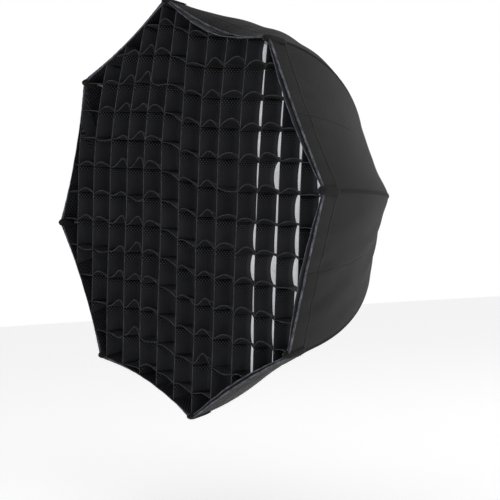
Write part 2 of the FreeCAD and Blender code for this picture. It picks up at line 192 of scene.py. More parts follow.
class Shader:
    """Small helper that adds and links the nodes of one material."""

    def __init__(self, name, colour, rough, **sockets):
        self.material = bpy.data.materials.new(name)
        self.material.use_nodes = True
        self.material.diffuse_color = (*colour, 1)
        self.tree = self.material.node_tree
        self.surface = self.tree.nodes["Principled BSDF"]
        self.surface.inputs["Base Color"].default_value = (*colour, 1)
        self.surface.inputs["Roughness"].default_value = rough
        for socket, value in sockets.items():
            self.surface.inputs[socket.replace("_", " ")].default_value = value

    def add(self, kind, links=(), values=(), **props):
        node = self.tree.nodes.new("ShaderNode" + kind)
        for prop, value in props.items():
            setattr(node, prop, value)
        for socket, value in dict(values).items():
            node.inputs[socket].default_value = value
        for socket, source in dict(links).items():
            self.tree.links.new(source, node.inputs[socket])
        return node

    def link(self, socket, output):
        self.tree.links.new(output, self.surface.inputs[socket])

    def coordinates(self, kind="UV"):
        return self.add("TexCoord").outputs[kind]

    def noise(self, where, scale, detail=3, rough=0.55):
        return self.add("TexNoise", {"Vector": where},
                        {"Scale": scale, "Detail": detail, "Roughness": rough}).outputs["Fac"]

    def bands(self, where, pitch, axis):
        """Straight bands of one pitch in metres, across the X or Y of the coordinates."""
        scale = 2 * math.pi / (20 * pitch)
        return self.add("TexWave", {"Vector": where}, {"Scale": scale},
                        wave_type="BANDS", bands_direction=axis).outputs["Fac"]

    def dots(self, where, pitch):
        """Staggered dots: two sets of bands, crossed at 45 degrees."""
        turned = self.add("Mapping", {"Vector": where}, {"Rotation": (0, 0, math.pi / 4)})
        return self.mix(self.bands(turned.outputs[0], pitch, "X"),
                        self.bands(turned.outputs[0], pitch, "Y"))

    def mix(self, a, b, kind="MULTIPLY"):
        node = self.add("Math", operation=kind)
        for socket, value in zip(node.inputs, (a, b)):
            if isinstance(value, (int, float)):
                socket.default_value = value
            else:
                self.tree.links.new(value, socket)
        return node.outputs[0]

    def ramp(self, fac, low, high, start=0.35, end=0.65):
        node = self.add("ValToRGB", {"Fac": fac})
        for element, place, colour in zip(node.color_ramp.elements, (start, end), (low, high)):
            element.position = place
            element.color = (*colour, 1) if len(colour) == 3 else colour
        return node.outputs["Color"]

    def bump(self, height, distance, strength=1.0, under=None):
        links = {"Height": height}
        if under is not None:
            links["Normal"] = under
        node = self.add("Bump", links, {"Distance": distance, "Strength": strength})
        return node.outputs["Normal"]

    def grey(self, fac, low, high):
        """Maps a factor to a range of plain values, such as roughness."""
        return self.add("MapRange", {"Value": fac}, {"To Min": low, "To Max": high}).outputs[0]


def shade(colour, factor):
    return tuple(min(1.0, c * factor) for c in colour)


def woven(name, colour, pitch, rough=0.62, sheen=0.03, depth=0.00012, fade=0.35, gloss=0.12):
    """Plain woven cloth: crossing threads, slight unevenness of dye and a soft sheen."""
    cloth = Shader(name, colour, rough, Sheen_Weight=sheen, Sheen_Roughness=0.45,
                   Specular_IOR_Level=gloss)
    place = cloth.coordinates()
    warp = cloth.bands(place, pitch, "X")
    weft = cloth.bands(place, pitch, "Y")
    weave = cloth.mix(warp, weft, "ADD")
    dye = cloth.noise(place, 9, 4)
    slub = cloth.noise(place, 160, 3)
    tone = cloth.mix(dye, cloth.mix(slub, 0.5), "ADD")
    cloth.link("Base Color", cloth.ramp(tone, shade(colour, 1 - fade), shade(colour, 1 + fade),
                                        0.5, 1.0))
    cloth.link("Roughness", cloth.grey(slub, rough - 0.08, rough + 0.08))
    soft = cloth.bump(cloth.noise(place, 26, 4), 0.0012, 0.35)
    cloth.link("Normal", cloth.bump(weave, depth, 0.8, soft))
    return cloth.material


def perforated(name, colour, pitch=0.0036, rough=0.6):
    """Open mesh ribbon: staggered threads that catch the light over dark holes."""
    mesh = Shader(name, colour, rough, Sheen_Weight=0.02, Sheen_Roughness=0.5,
                  Specular_IOR_Level=0.12)
    place = mesh.coordinates()
    dots = mesh.dots(place, pitch)
    level = mesh.mix(dots, mesh.grey(mesh.noise(place, 14, 3), 0.55, 1.25))
    mesh.link("Base Color", mesh.ramp(level, shade(colour, 0.1), shade(colour, 3.2), 0.3, 0.75))
    mesh.link("Normal", mesh.bump(mesh.mix(dots, -1.0), 0.0004, 0.7))
    return mesh.material


def ribbed(name, colour, pitch):
    """Close-woven ribbon with fine ribs along it, and mesh showing below each crossing."""
    ribbon = Shader(name, colour, 0.55, Sheen_Weight=0.03, Sheen_Roughness=0.4,
                    Specular_IOR_Level=0.12)
    place = ribbon.coordinates()
    ribs = ribbon.bands(place, 0.0024, "X")
    patch = ribbon.noise(place, 16, 4)
    tone = ribbon.mix(ribbon.mix(ribs, 0.35), patch, "ADD")
    plain = ribbon.ramp(tone, shade(colour, 0.7), shade(colour, 1.8), 0.4, 1.0)
    along = ribbon.add("SeparateXYZ", {"Vector": place}).outputs["Y"]
    share = ribbon.mix(ribbon.mix(along, 1 / pitch), 0.0, "FRACT")
    edge = ribbon.mix(share, ribbon.grey(ribbon.noise(place, 9, 2), -0.12, 0.16), "ADD")
    band = ribbon.ramp(edge, (0, 0, 0), (1, 1, 1), 0.72, 0.86)
    mesh = ribbon.ramp(ribbon.dots(place, 0.0038), shade(colour, 0.12), shade(colour, 5.5),
                       0.3, 0.75)
    both = ribbon.add("Mix", data_type="RGBA")
    for socket, source in zip((both.inputs["Factor"], both.inputs[6], both.inputs[7]),
                              (band, plain, mesh)):
        ribbon.tree.links.new(source, socket)
    ribbon.link("Base Color", both.outputs[2])
    soft = ribbon.bump(patch, 0.002, 0.3)
    ribbon.link("Normal", ribbon.bump(ribs, 0.00018, 0.7, soft))
    return ribbon.material


def fuzzy(name, colour):
    """Hook-and-loop tape: a short tangled pile."""
    pile = Shader(name, colour, 0.95, Sheen_Weight=0.05, Sheen_Roughness=0.6,
                  Specular_IOR_Level=0.08)
    place = pile.coordinates()
    tangle = pile.noise(place, 900, 6, 0.75)
    clump = pile.noise(place, 190, 3)
    both = pile.mix(tangle, pile.mix(clump, 0.7), "ADD")
    pile.link("Base Color", pile.ramp(both, shade(colour, 0.35), shade(colour, 2.2), 0.6, 1.1))
    pile.link("Normal", pile.bump(both, 0.0014, 1.0))
    return pile.material


def binding(name, colour, worn=2.1):
    """Ribbed binding tape, worn lighter along its fold."""
    tape = Shader(name, colour, 0.55, Sheen_Weight=0.04, Sheen_Roughness=0.4,
                  Specular_IOR_Level=0.15)
    place = tape.coordinates()
    rib = tape.bands(place, 0.0012, "X")
    wear = tape.noise(place, 70, 5, 0.7)
    tape.link("Base Color", tape.ramp(wear, shade(colour, 0.7), shade(colour, worn), 0.42, 0.75))
    tape.link("Normal", tape.bump(tape.mix(rib, tape.mix(wear, 0.8), "ADD"), 0.00025, 0.8))
    return tape.material


def silvered(name, colour):
    """Silver reflective lining with a pebbled foil surface."""
    foil = Shader(name, colour, 0.34, Metallic=0.85)
    place = foil.coordinates()
    cells = foil.add("TexVoronoi", {"Vector": place}, {"Scale": 260.0}).outputs["Distance"]
    crumple = foil.noise(place, 45, 5, 0.65)
    foil.link("Roughness", foil.grey(crumple, 0.24, 0.46))
    foil.link("Base Color", foil.ramp(crumple, shade(colour, 0.85), shade(colour, 1.1)))
    foil.link("Normal", foil.bump(cells, 0.0005, 0.5, foil.bump(crumple, 0.0015, 0.4)))
    return foil.material


def white_cloth(name, colour):
    """Translucent white diffusion cloth with a fine weave, and a painted glow: emission that stands
    in for light shining through the cloth.
    """
    # Emission paints a faint glow into the cloth; it stands in for light coming through it and is
    # no lamp.
    cloth = Shader(name, colour, 0.75, Sheen_Weight=0.2, Subsurface_Weight=0.25,
                   Subsurface_Scale=0.01, Specular_IOR_Level=0.25,
                   Emission_Color=(0.93, 0.95, 1, 1), Emission_Strength=0.3)
    place = cloth.coordinates()
    weave = cloth.mix(cloth.bands(place, 0.0011, "X"), cloth.bands(place, 0.0011, "Y"), "ADD")
    cloud = cloth.noise(place, 18, 4)
    cloth.link("Base Color", cloth.ramp(cloud, shade(colour, 0.95), shade(colour, 1.03)))
    ripple = cloth.bump(cloth.noise(place, 12, 3), 0.002, 0.3)
    cloth.link("Normal", cloth.bump(weave, 0.0001, 0.6, ripple))
    return cloth.material


def powder_coat(name, colour, grain=900, rough=0.5, depth=0.00012):
    """Painted or moulded surface with a fine pebble and rubbed tones."""
    paint = Shader(name, colour, rough, Specular_IOR_Level=0.45)
    place = paint.coordinates("Object")
    pebble = paint.noise(place, grain, 2)
    rub = paint.noise(place, 38, 5, 0.7)
    paint.link("Base Color", paint.ramp(rub, shade(colour, 0.8), shade(colour, 1.5), 0.4, 0.8))
    paint.link("Roughness", paint.grey(rub, rough - 0.1, rough + 0.1))
    paint.link("Normal", paint.bump(pebble, depth, 0.6))
    return paint.material


def worked_metal(name, colour, rough=0.3, stretch=(1, 1, 1), grain=420):
    """Bare metal with fine drawn or turned lines and faint smears."""
    metal = Shader(name, colour, rough, Metallic=1.0)
    place = metal.coordinates("Object")
    drawn = metal.add("Mapping", {"Vector": place}, {"Scale": stretch}).outputs[0]
    lines = metal.noise(drawn, grain, 3)
    smear = metal.noise(place, 25, 4)
    metal.link("Base Color", metal.ramp(smear, shade(colour, 0.85), shade(colour, 1.08)))
    metal.link("Roughness", metal.grey(lines, rough - 0.08, rough + 0.14))
    metal.link("Normal", metal.bump(lines, 0.00005, 0.35))
    return metal.material


FINISHES = {}


def finish_of(slot):
    """Material of a finish, made on first use."""
    if slot not in FINISHES:
        FINISHES[slot] = FINISH_MAKERS[slot]()
    return FINISHES[slot]


FINISH_MAKERS = {
    "shell_cloth": lambda: woven("shell_cloth", shell_settings().colour, 0.0006),
    "lining": lambda: silvered("silver_lining", shell_settings().lining),
    "seam_cloth": lambda: woven("seam_cloth", shade(shell_settings().colour, 0.75), 0.0009, 0.7),
    "thread": lambda: woven("stitch_thread", (0.022, 0.022, 0.025), 0.0004, 0.6, 0.05),
    "binding_tape": lambda: binding("binding_tape", (0.045, 0.046, 0.056), 5.0),
    "hook_tape": lambda: fuzzy("hook_tape", (0.009, 0.009, 0.0105)),
    "grid_cloth": lambda: perforated("grid_mesh", grid_settings().colour),
    "grid_plain": lambda: ribbed("grid_ribbon", grid_settings().colour, grid_settings().pitch),
    # Darker copy of the ribbon cloth for the level ribbons' undersides: painted shade.
    "grid_painted_shade": lambda: woven("grid_painted_shade", shade(grid_settings().colour, 0.3), 0.0009, 0.8),
    "grid_edge": lambda: binding("grid_edge", (0.028, 0.0285, 0.032), 3.0),
    # Diffuser and baffle cloth, with a painted glow (emission) standing in for light shining
    # through it.
    "white_cloth": lambda: white_cloth("glowing_diffusion_cloth", front_settings().white),
    "elastic": lambda: woven("white_elastic", (0.78, 0.78, 0.77), 0.0015, 0.75, 0.2, fade=0.1,
                             gloss=0.3),
    "black_metal": lambda: powder_coat("black_powder_coat", (0.014, 0.014, 0.0155)),
    "cap_plastic": lambda: powder_coat("cap_plastic", (0.018, 0.018, 0.019), 1500, 0.42),
    "runner_plastic": lambda: powder_coat("runner_plastic", (0.026, 0.026, 0.028), 1300, 0.48),
    "button_plastic": lambda: powder_coat("button_plastic", (0.36, 0.03, 0.02), 1800, 0.32),
    "pin_steel": lambda: worked_metal("pin_steel", (0.62, 0.62, 0.63), 0.25),
    "tube_aluminium": lambda: worked_metal("tube_aluminium", (0.76, 0.76, 0.78), 0.34,
                                           (1, 0.05, 1)),
    "spring_steel": lambda: worked_metal("spring_steel", (0.34, 0.34, 0.35), 0.3),
    "rib_steel": lambda: worked_metal("rib_steel", (0.5, 0.5, 0.51), 0.28, (0.1, 0.1, 0.1)),
    "strut_steel": lambda: worked_metal("strut_steel", (0.56, 0.56, 0.57), 0.32),
}


# ------------------------------------------------------------------ mesh helpers

def make_piece(name, points, faces, slots, face_slots=None, uv=None, flat=()):
    """Mesh object from points and faces, with one finish per face and a metric UV map."""
    mesh = bpy.data.meshes.new(name)
    mesh.from_pydata([tuple(p) for p in points], [], faces)
    for slot in slots:
        mesh.materials.append(finish_of(slot))
    smooth = np.ones(len(faces), bool)
    smooth[list(flat)] = False
    mesh.polygons.foreach_set("use_smooth", smooth)
    if face_slots is not None:
        mesh.polygons.foreach_set("material_index", face_slots)
    shape = bmesh.new()
    shape.from_mesh(mesh)
    bmesh.ops.recalc_face_normals(shape, faces=shape.faces)
    shape.to_mesh(mesh)
    shape.free()
    if uv is not None:
        layer = mesh.uv_layers.new(name="metres")
        corner = np.zeros(len(mesh.loops), int)
        mesh.loops.foreach_get("vertex_index", corner)
        layer.data.foreach_set("uv", np.asarray(uv, float)[corner].ravel())
    mesh.update()
    piece = bpy.data.objects.new(name, mesh)
    bpy.context.scene.collection.objects.link(piece)
    return piece


def thin_sheet(outer, inner, uv, flip=False):
    """Closed thin solid between two grids of points: points, faces, layer of each face, uv."""
    rows, columns = outer.shape[:2]
    count = rows * columns
    points = np.concatenate([outer.reshape(-1, 3), inner.reshape(-1, 3)])
    index = np.arange(count).reshape(rows, columns)
    faces, layer = [], []
    for i in range(rows - 1):
        for j in range(columns - 1):
            a, b, c, d = index[i, j], index[i, j + 1], index[i + 1, j + 1], index[i + 1, j]
            faces += [(a, b, c, d), (a + count, d + count, c + count, b + count)]
            layer += [0, 1]
    loop = [*index[0], *index[1:, -1], *index[-1, -2::-1], *index[-2:0:-1, 0]]
    for a, b in zip(loop, loop[1:] + loop[:1]):
        faces.append((b, a, a + count, b + count))
        layer.append(2)
    if flip:
        faces = [tuple(reversed(f)) for f in faces]
    faces = [tuple(int(i) for i in f) for f in faces]
    return points, faces, layer, np.concatenate([uv.reshape(-1, 2)] * 2)


def sheet_piece(name, outer, inner, uv, slots, flip=False):
    """Thin cloth piece; slots are the finishes of its outer face, inner face and edges."""
    points, faces, layer, flat_uv = thin_sheet(outer, inner, uv, flip)
    edges = [i for i, kind in enumerate(layer) if kind == 2]
    return make_piece(name, points, faces, slots, layer, flat_uv, edges)


class Heap:
    """Collects many small closed meshes that become one piece."""

    def __init__(self):
        self.points, self.faces, self.layers, self.uv = [], [], [], []

    def add(self, points, faces, layer, uv):
        base = len(self.points)
        self.points += [tuple(p) for p in points]
        self.faces += [tuple(i + base for i in f) for f in faces]
        self.layers += list(layer)
        self.uv += [tuple(t) for t in uv]

    def piece(self, name, slots, flat_layer=2):
        flat = [i for i, kind in enumerate(self.layers) if kind == flat_layer]
        return make_piece(name, self.points, self.faces, slots, self.layers, self.uv, flat)


def swept(sections, uv):
    """Tube of given sections, with flat ends."""
    rows, columns = sections.shape[:2]
    points = sections.reshape(-1, 3)
    faces = []
    for i in range(rows - 1):
        for j in range(columns):
            k = (j + 1) % columns
            faces.append((i * columns + j, i * columns + k, (i + 1) * columns + k,
                          (i + 1) * columns + j))
    faces.append(tuple(reversed(range(columns))))
    faces.append(tuple(range((rows - 1) * columns, rows * columns)))
    return points, faces, [0] * len(faces), uv.reshape(-1, 2)


STITCH_LENGTH = 0.0027
STITCH_WIDTH = 0.0006
STITCH_HEIGHT = 0.00045


def stitch(centre, along, side, up, slot=0):
    """One short raised thread, pointed at both ends."""
    middle = [centre + side * STITCH_WIDTH / 2, centre + up * STITCH_HEIGHT,
              centre - side * STITCH_WIDTH / 2, centre - up * STITCH_HEIGHT / 2]
    ends = [centre - along * STITCH_LENGTH / 2, centre + along * STITCH_LENGTH / 2]
    faces = []
    for i in range(4):
        j = (i + 1) % 4
        faces += [(4, j, i), (5, i, j)]
    points = middle + ends
    return points, faces, [slot] * len(faces), [(p[0], p[2]) for p in points]


# ------------------------------------------------------------------ the shell's surface

CLOTH_REACH = 0.005        # outer face of the cloth above a rib's axis
RIDGE_ROUND = 0.0021       # how much the cloth's own stiffness rounds the ridge
RIDGE_SPREAD = 0.006       # how far that rounding reaches to each side
LOOSE_GORE = 2             # the gore that swells instead of sagging
TAUT_GORES = (3, 4, 5)
CREASED_GORES = (7, 8)


class Ridge:
    """Arc of the shell above a rib, in the rib's own plane, as (out, y)."""

    def __init__(self, lift):
        settings = shell_settings()
        start = np.array([HINGE.x, HINGE.y])
        end = np.array([TIP_OUT - CLOTH_REACH, FRONT_Y])
        run = end - start
        self.start = start
        self.chord = float(np.hypot(*run))
        self.along = run / self.chord
        self.normal = np.array([-self.along[1], self.along[0]])
        bow = settings.rib_bow
        self.radius = (self.chord ** 2 / 4 + bow ** 2) / (2 * bow)
        self.depth = self.radius - bow
        self.lift = lift
        self.first = settings.rib_start

    def at(self, v, lift=0.0):
        """Points for shares v of the length from the shell's rear edge to the rim."""
        along = self.first + (self.chord - self.first) * np.asarray(v, float)
        across = along - self.chord / 2
        rise = np.sqrt(self.radius ** 2 - across ** 2) - self.depth
        away = np.stack([across, rise + self.depth], -1) / self.radius
        flat = np.stack([along, rise], -1) + away * (self.lift + lift)
        place = self.start + flat[..., :1] * self.along + flat[..., 1:] * self.normal
        return place[..., 0], place[..., 1]

    def out_at(self, y):
        """Distance from the axis to a rib's own centre line at a depth."""
        share = np.linspace(0, 1, 400)
        out, depth = self.at(share, -self.lift)
        return float(np.interp(-y, -depth, out))


def gore_traits(gore):
    """Scallop, folds, waves, puckers and hollow of gore g, which lies between ribs g and g+1."""
    settings = shell_settings()
    chance = random.Random(100 + gore)
    scallop = settings.rim_scallop * chance.uniform(0.85, 1.15)
    hollow = settings.hollow
    if gore == LOOSE_GORE:
        scallop = settings.loose_scallop
        hollow = -settings.bulge
    if gore in TAUT_GORES:
        scallop = settings.rim_scallop * 0.55
    folds = 2.0 if gore in CREASED_GORES else 1.0
    waves = [(chance.uniform(0.6, 2.6), chance.uniform(0.5, 2.5), chance.uniform(0, 6.28),
              chance.uniform(0.5, 1.0)) for _ in range(5)]
    pucker = [(chance.uniform(3, 9), chance.uniform(0, 6.28)) for _ in range(3)]
    return scallop, folds, waves, pucker, hollow


class Shell:
    """Outer face of the whole shell, as points for (gore, w, v): w from -1 at the gore's first
    rib to 1 at its second, v from 0 at the rear edge to 1 at the rim."""

    def __init__(self):
        self.ridge = Ridge(CLOTH_REACH)
        self.traits = {g: gore_traits(g) for g in range(1, RIBS + 1)}
        self.length = self.ridge.chord - self.ridge.first
        self.hem_v = 1 - shell_settings().hem / self.length

    def relief(self, gore, w, v):
        """Height of folds, puckers and the hem's edge over the smooth gore."""
        settings = shell_settings()
        folds, waves, pucker = self.traits[gore][1:4]
        inside = 1 - w ** 2
        height = 0
        for across, along, phase, share in waves:
            height = height + share * np.sin(math.pi * (across * 1.6 * w + along * 3 * v) + phase)
        height = (height * settings.wrinkle * 0.55 * inside
                  * np.sin(math.pi * np.clip(v, 0, 1)) ** 0.5)
        back = np.clip(1 - v, 0, 1) * self.length
        near_hem = np.exp(-((back - settings.hem * 1.15) / 0.022) ** 2)
        for count, phase in pucker:
            height = height + (settings.wrinkle * 0.4 * folds * near_hem * inside
                               * np.sin(math.pi * count * w + phase))
        step = 1 / (1 + np.exp((back - settings.hem) / 0.0006))
        groove = np.exp(-((back - settings.hem + 0.003) / 0.0011) ** 2)
        return height + 0.0006 * step - 0.0005 * groove

    def points(self, gore, w, v, lift=0.0):
        w = np.asarray(w, float)
        v = np.asarray(v, float)
        scallop, hollow = self.traits[gore][0], self.traits[gore][4]
        out, y = self.ridge.at(v, lift)
        clipped = np.clip(v, 0, 1)
        sag = (1 - w ** 2) * (hollow * np.sin(math.pi * clipped) ** 0.8
                              + scallop * clipped ** 7)
        aside = (1 - np.abs(w)) * out * math.sin(HALF)
        blunt = RIDGE_ROUND * np.exp(-aside / RIDGE_SPREAD)
        radial = out * math.cos(HALF) - sag - blunt + self.relief(gore, w, v)
        lateral = w * out * math.sin(HALF)
        y = y + (1 - w ** 2) * scallop * 0.8 * clipped ** 7
        middle = azimuth(gore) + HALF
        return np.stack([radial * math.cos(middle) - lateral * math.sin(middle), y,
                         radial * math.sin(middle) + lateral * math.cos(middle)], -1)

    def normals(self, gore, w, v):
        """Outward unit normals, and unit directions towards the rim."""
        small = 0.002
        across = self.points(gore, w + small, v) - self.points(gore, w - small, v)
        forward = self.points(gore, w, v + small) - self.points(gore, w, v - small)
        normal = np.cross(forward, across)
        normal /= np.linalg.norm(normal, axis=-1, keepdims=True)
        middle = azimuth(gore) + HALF
        if (normal[..., 0] * math.cos(middle) + normal[..., 2] * math.sin(middle)).mean() < 0:
            normal = -normal
        forward /= np.linalg.norm(forward, axis=-1, keepdims=True)
        return normal, forward

    def radius_at(self, angle, y, inset=0.0):
        """Radius of the shell in one direction at depth y, less an inset."""
        gore = int((angle % (2 * math.pi)) // (2 * HALF)) + 1
        offset = (angle % (2 * math.pi)) - azimuth(gore) - HALF
        low, high = 0.0, 1.0
        for _ in range(30):
            v = (low + high) / 2
            w = math.tan(offset) / math.tan(HALF)
            if self.points(gore, np.array(w), np.array(v))[1] > y:
                low = v
            else:
                high = v
        point = self.points(gore, np.array(w), np.array(v))
        return math.hypot(point[0], point[2]) - inset


def half_gores():
    """Each rib's two half gores: rib, side, gore, and w from the rib to the crease."""
    for rib in range(1, RIBS + 1):
        for side, hand in SIDES.items():
            gore = rib if hand > 0 else (rib - 2) % RIBS + 1
            yield rib, side, gore, (-1.0 if hand > 0 else 1.0)


def hang_on_gore(piece):
    """Bakes the piece's placement into its mesh."""
    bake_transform(piece)
    return piece


def rows_along(shell):
    """Shares v down a gore, closer together at the hem and the rim."""
    edge = shell.hem_v
    step = 0.0012 / shell.length
    return np.unique(np.concatenate([
        np.linspace(0, 1, 60), edge + step * np.arange(-5, 9), 1 - step * np.arange(0, 5)]))


def rows_across(start):
    """w from a rib to the crease, closer together beside the rib."""
    share = np.linspace(0, 1, 29)
    share = 0.5 * share ** 1.5 + 0.5 * (1 - (1 - share) ** 1.5)
    return start * (1 - share)


# ------------------------------------------------------------------ the front cloths: riding on a body, and wedges


def gather(piece, body):
    """The piece rides on a body, with a mesh of its own."""
    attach(piece, body)
    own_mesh(piece)
    return piece


def wedge_of(x, z):
    """Number of the wedge, centred on a rib or a crease, that a point lies in."""
    angle = math.atan2(z, x) % (2 * math.pi)
    return int(round(angle / HALF)) % WEDGES


def wedge_angles(count):
    """Each wedge's number, its middle, and the angles across it."""
    for wedge in range(WEDGES):
        middle = wedge * HALF
        yield wedge, middle, middle + np.linspace(-HALF / 2, HALF / 2, count)


# ------------------------------------------------------------------ pieces of the shell

RIM_HALF_EDGE = 0.113      # rim from a rib to the crease beside it
WELT_HALF_WIDTH = 0.0036
WELT_STITCH_ASIDE = 0.0026
BINDING_WAVER = 0.00025
# forward of the rim and out from the cloth, round the folded binding
BINDING_OUTLINE = ((-0.0016, 0.0004), (-0.0006, 0.0009), (0.0006, 0.0010), (0.0014, 0.0006),
                   (0.0017, -0.0003), (0.0013, -0.0012), (0.0003, -0.0017), (-0.0014, -0.0018),
                   (-0.0030, -0.0016))
POCKET_BACK = 0.030        # how far a pocket reaches behind the rim
POCKET_NOSE = 0.0065       # and in front of it
COLLAR_LAP = 0.022         # overlap of the collar on the shell
COLLAR_GIRTH = 0.066


def build_gores():
    """Sixteen half gores of black cloth lined with silver, each from a rib to a crease."""
    shell = Shell()
    thick = shell_settings().thickness
    rows = rows_along(shell)
    for rib, side, gore, start in half_gores():
        across = rows_across(start)
        w, v = np.meshgrid(across, rows, indexing="xy")
        outer = shell.points(gore, w, v)
        inner = shell.points(gore, w, v, -thick)
        run = np.cumsum(np.linalg.norm(np.diff(outer, axis=0, prepend=outer[:1]), axis=-1), axis=0)
        aside = np.cumsum(np.linalg.norm(np.diff(outer, axis=1, prepend=outer[:, :1]), axis=-1),
                          axis=1)
        lateral = w * shell.ridge.at(v)[0] * math.sin(HALF)
        uv = np.stack([lateral + gore * 0.37, v * shell.length], -1)
        body = f"gore_{rib}_{side}"
        piece = sheet_piece(f"shell_{rib}_{side}", outer, inner, uv,
                            ["shell_cloth", "lining", "binding_tape"], flip=start < 0)
        hang_on_gore(piece)
        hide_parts(body)
        area = float(np.trapz(aside[:, -1], run.mean(axis=1)))
        piece["cut"] = (float(aside[:, -1].max()), float(run.max()), area)


def build_seams():
    """A folded welt with two rows of stitches over each rib."""
    shell = Shell()
    pitch = shell_settings().stitch
    rows = np.linspace(0.0, shell.hem_v + 0.03, 90)
    for rib in range(1, RIBS + 1):
        gores = {1: (rib, -1.0), -1: ((rib - 2) % RIBS + 1, 1.0)}
        heap = Heap()
        columns = []
        for lift, order in ((0.0009, (-1.0, -0.55, 0.0, 0.55, 1.0)),
                            (-0.0005, (1.0, 0.0, -1.0))):
            for share in order:
                gore, start = gores[1 if share >= 0 else -1]
                out = shell.ridge.at(rows)[0]
                w = start * (1 - abs(share) * WELT_HALF_WIDTH / (out * math.sin(HALF)))
                edge = lift * (1 - 0.75 * abs(share)) if lift > 0 else lift
                columns.append(shell.points(gore, w, rows, edge))
        sections = np.stack(columns, 1)
        run = np.linspace(0, shell.length, len(rows))
        around = np.linspace(0, 0.014, sections.shape[1])
        uv = np.stack(np.meshgrid(around, run), -1)
        heap.add(*swept(sections, uv))
        for gore, start in gores.values():
            count = int(shell.length * shell.hem_v / pitch)
            v = (np.arange(count) + 0.5) / count * shell.hem_v
            out = shell.ridge.at(v)[0]
            w = start * (1 - WELT_STITCH_ASIDE / (out * math.sin(HALF)))
            centre = shell.points(gore, w, v, 0.0007)
            normal, forward = shell.normals(gore, w, v)
            for c, n, f in zip(centre, normal, forward):
                heap.add(*stitch(c, f, np.cross(n, f), n, slot=1))
        piece = heap.piece(f"rib_seam_{rib}", ["seam_cloth", "thread"])
        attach(piece, f"rib_{rib}")


def rim_frames(shell, gore, across, back, lift=0.0):
    """Points, normals and forward directions along the rim at a distance behind it."""
    v = np.full_like(across, 1 - back / shell.length)
    points = shell.points(gore, across, v, lift)
    normal, forward = shell.normals(gore, across, np.minimum(v, 0.995))
    return points, normal, forward


def build_binding(shell, rib, side, gore, start):
    """Binding tape folded over the rim, slightly uneven along its edge."""
    across = start * (1 - np.linspace(0, 1, 49))
    points, normal, forward = rim_frames(shell, gore, across, 0.0)
    chance = random.Random(rib * 7 + SIDES[side])
    waver = np.array([chance.uniform(-1, 1) for _ in across]) * BINDING_WAVER
    waver[0] = waver[-1] = 0
    sections = np.stack([points + forward * (f + waver[:, None]) + normal * n
                         for f, n in BINDING_OUTLINE], 1)
    along = np.abs(across - start) * RIM_HALF_EDGE
    around = np.cumsum([0] + [math.dist(a, b)
                              for a, b in zip(BINDING_OUTLINE, BINDING_OUTLINE[1:])])
    uv = np.stack([np.broadcast_to(along[:, None], sections.shape[:2]),
                   np.broadcast_to(around[None], sections.shape[:2])], -1)
    if start < 0:
        sections, uv = sections[:, ::-1], uv[:, ::-1]
    heap = Heap()
    heap.add(*swept(sections, uv))
    piece = heap.piece(f"rim_binding_{rib}_{side}", ["binding_tape"])
    hang_on_gore(piece)
    return piece


def build_hem_stitches(shell, rib, side, gore, start):
    """Two rows of stitches: at the hem's rear edge and behind the binding."""
    settings = shell_settings()
    heap = Heap()
    count = int(RIM_HALF_EDGE / settings.stitch)
    places = start * (1 - (np.arange(count) + 0.5) / count)
    for back, lift in ((settings.hem - 0.0022, 0.0003), (0.0030, 0.0011)):
        centre, normal, forward = rim_frames(shell, gore, places, back, lift)
        for c, n, f in zip(centre, normal, forward):
            heap.add(*stitch(c, np.cross(n, f), f, n))
    piece = heap.piece(f"rim_stitches_{rib}_{side}", ["thread"])
    hang_on_gore(piece)
    return piece


def build_rim_tape(shell, rib, side, gore, start):
    """Hook-and-loop tape inside the rim."""
    back = np.linspace(0.0015, shell_settings().hem - 0.003, 8)
    share = start * (1 - np.linspace(0.03, 1, 24))
    w, depth = np.meshgrid(share, back, indexing="xy")
    v = 1 - depth / shell.length
    outer = shell.points(gore, w, v, -0.0011)
    inner = shell.points(gore, w, v, -0.0026)
    uv = np.stack([np.abs(w) * RIM_HALF_EDGE, depth], -1)
    piece = sheet_piece(f"rim_tape_{rib}_{side}", outer, inner, uv, ["hook_tape"] * 3,
                        flip=start > 0)
    hang_on_gore(piece)
    return piece


def build_rim():
    """Binding, hem stitches and tape of each half gore."""
    shell = Shell()
    for rib, side, gore, start in half_gores():
        trim = [build(shell, rib, side, gore, start)
                for build in (build_binding, build_hem_stitches, build_rim_tape)]


